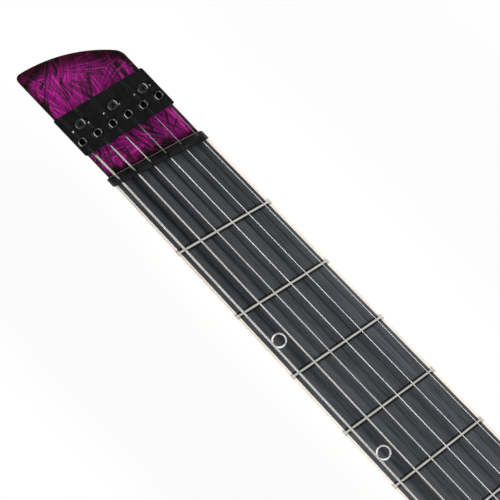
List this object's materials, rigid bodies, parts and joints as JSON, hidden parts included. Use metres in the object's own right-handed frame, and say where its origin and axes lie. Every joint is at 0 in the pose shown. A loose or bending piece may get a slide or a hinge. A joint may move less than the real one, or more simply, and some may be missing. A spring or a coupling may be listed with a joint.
{
  "type": "headless electric guitar",
  "caption": "Solid-body headless electric guitar with fanned frets, a string lock at the head and a tuning bridge at the tail.",
  "frame": {"origin": "on the flat back of the body, under the middle of the line of saddles", "axes": "+X from the head towards the tail, +Y towards the treble side, +Z out of the front, towards the strings"},
  "size_m": [0.8482, 0.3201, 0.0632],
  "materials": {
    "neck_wood": "satin maple",
    "streaked_finish": "satin gloss lacquer over magenta and black streaks, dark at the rims",
    "fretboard_wood": "oiled dark wood with steel frets and pale ring inlays",
    "pale_binding": "satin pale edge strip",
    "black_composite": "dull black",
    "black_metal": "satin black",
    "screw_metal": "glossy black with bright rims",
    "knob_metal": "satin black, knurled",
    "string_steel": "bright, lower three wound",
    "bare_steel": "plated",
    "black_plastic": "fine grain",
    "pickup_plastic": "satin",
    "coil_core": "taped coils"
  },
  "bodies": {
    "root": {"neck": "neck_wood", "headpiece_veneer": "streaked_finish", "body": "streaked_finish", "fretboard": "fretboard_wood", "fretboard_binding": "pale_binding", "nut": "black_composite", "truss_rod": "bare_steel", "string_lock": "black_metal", "lock_screw_1": "screw_metal", "lock_screw_2": "screw_metal", "lock_screw_3": "screw_metal", "lock_screw_4": "screw_metal", "lock_screw_5": "screw_metal", "lock_screw_6": "screw_metal", "string_1": "string_steel", "string_2": "string_steel", "string_3": "string_steel", "string_4": "string_steel", "string_5": "string_steel", "string_6": "string_steel", "heel_plate": "black_metal", "control_cover": "black_plastic", "pickup_cover_neck": "pickup_plastic", "pickup_core_neck": "coil_core", "pickup_cover_bridge": "pickup_plastic", "pickup_core_bridge": "coil_core", "bridge_base_1": "black_metal", "bridge_base_2": "black_metal", "bridge_base_3": "black_metal", "bridge_base_4": "black_metal", "bridge_base_5": "black_metal", "bridge_base_6": "black_metal", "saddle_1": "black_metal", "saddle_2": "black_metal", "saddle_3": "black_metal", "saddle_4": "black_metal", "saddle_5": "black_metal", "saddle_6": "black_metal", "volume_pot": "bare_steel", "tone_pot": "bare_steel", "pickup_switch": "black_metal", "jack_plate": "black_metal", "output_jack": "bare_steel", "strap_button_horn": "screw_metal", "strap_button_tail": "screw_metal"},
    "tuner_1": {"tuner_knob_1": "knob_metal"},
    "tuner_2": {"tuner_knob_2": "knob_metal"},
    "tuner_3": {"tuner_knob_3": "knob_metal"},
    "tuner_4": {"tuner_knob_4": "knob_metal"},
    "tuner_5": {"tuner_knob_5": "knob_metal"},
    "tuner_6": {"tuner_knob_6": "knob_metal"},
    "carriage_1": {"string_carriage_1": "black_metal"},
    "carriage_2": {"string_carriage_2": "black_metal"},
    "carriage_3": {"string_carriage_3": "black_metal"},
    "carriage_4": {"string_carriage_4": "black_metal"},
    "carriage_5": {"string_carriage_5": "black_metal"},
    "carriage_6": {"string_carriage_6": "black_metal"},
    "volume": {"volume_knob": "knob_metal"},
    "tone": {"tone_knob": "knob_metal"},
    "switch": {"switch_lever": "screw_metal"}
  },
  "joints": [
    {"name": "tuner_turn_1", "type": "hinge", "parent": "root", "child": "tuner_1", "pos_m": [-0.00755, 0.02625, 0.048], "axis": [-1, 0, 0], "range_deg": [-1800, 1800]},
    {"name": "tuner_turn_2", "type": "hinge", "parent": "root", "child": "tuner_2", "pos_m": [-0.00453, 0.01575, 0.048], "axis": [-1, 0, 0], "range_deg": [-1800, 1800]},
    {"name": "tuner_turn_3", "type": "hinge", "parent": "root", "child": "tuner_3", "pos_m": [-0.00151, 0.00525, 0.048], "axis": [-1, 0, 0], "range_deg": [-1800, 1800]},
    {"name": "tuner_turn_4", "type": "hinge", "parent": "root", "child": "tuner_4", "pos_m": [0.00151, -0.00525, 0.048], "axis": [-1, 0, 0], "range_deg": [-1800, 1800]},
    {"name": "tuner_turn_5", "type": "hinge", "parent": "root", "child": "tuner_5", "pos_m": [0.00453, -0.01575, 0.048], "axis": [-1, 0, 0], "range_deg": [-1800, 1800]},
    {"name": "tuner_turn_6", "type": "hinge", "parent": "root", "child": "tuner_6", "pos_m": [0.00755, -0.02625, 0.048], "axis": [-1, 0, 0], "range_deg": [-1800, 1800]},
    {"name": "carriage_slide_1", "type": "slide", "parent": "root", "child": "carriage_1", "axis": [1, 0, 0], "range_m": [-0.0041, 0.0041], "deforming": ["string_1"]},
    {"name": "carriage_slide_2", "type": "slide", "parent": "root", "child": "carriage_2", "axis": [1, 0, 0], "range_m": [-0.0041, 0.0041], "deforming": ["string_2"]},
    {"name": "carriage_slide_3", "type": "slide", "parent": "root", "child": "carriage_3", "axis": [1, 0, 0], "range_m": [-0.0041, 0.0041], "deforming": ["string_3"]},
    {"name": "carriage_slide_4", "type": "slide", "parent": "root", "child": "carriage_4", "axis": [1, 0, 0], "range_m": [-0.0041, 0.0041], "deforming": ["string_4"]},
    {"name": "carriage_slide_5", "type": "slide", "parent": "root", "child": "carriage_5", "axis": [1, 0, 0], "range_m": [-0.0041, 0.0041], "deforming": ["string_5"]},
    {"name": "carriage_slide_6", "type": "slide", "parent": "root", "child": "carriage_6", "axis": [1, 0, 0], "range_m": [-0.0041, 0.0041], "deforming": ["string_6"]},
    {"name": "volume_turn", "type": "hinge", "parent": "root", "child": "volume", "pos_m": [0.008, 0.0915, 0.042], "axis": [0, 0, 1], "range_deg": [0, 270]},
    {"name": "tone_turn", "type": "hinge", "parent": "root", "child": "tone", "pos_m": [0.05316, 0.10028, 0.042], "axis": [0, 0, 1], "range_deg": [0, 270]},
    {"name": "switch_tilt", "type": "hinge", "parent": "root", "child": "switch", "pos_m": [-0.03912, 0.08234, 0.0405], "axis": [-0.1908, 0.9816, 0], "range_deg": [-14, 14]}
  ],
  "couplings": [
    {"joint": "carriage_slide_1", "follows": "tuner_turn_1", "m_per_rad": 0.00012732},
    {"joint": "carriage_slide_2", "follows": "tuner_turn_2", "m_per_rad": 0.00012732},
    {"joint": "carriage_slide_3", "follows": "tuner_turn_3", "m_per_rad": 0.00012732},
    {"joint": "carriage_slide_4", "follows": "tuner_turn_4", "m_per_rad": 0.00012732},
    {"joint": "carriage_slide_5", "follows": "tuner_turn_5", "m_per_rad": 0.00012732},
    {"joint": "carriage_slide_6", "follows": "tuner_turn_6", "m_per_rad": 0.00012732}
  ]
}
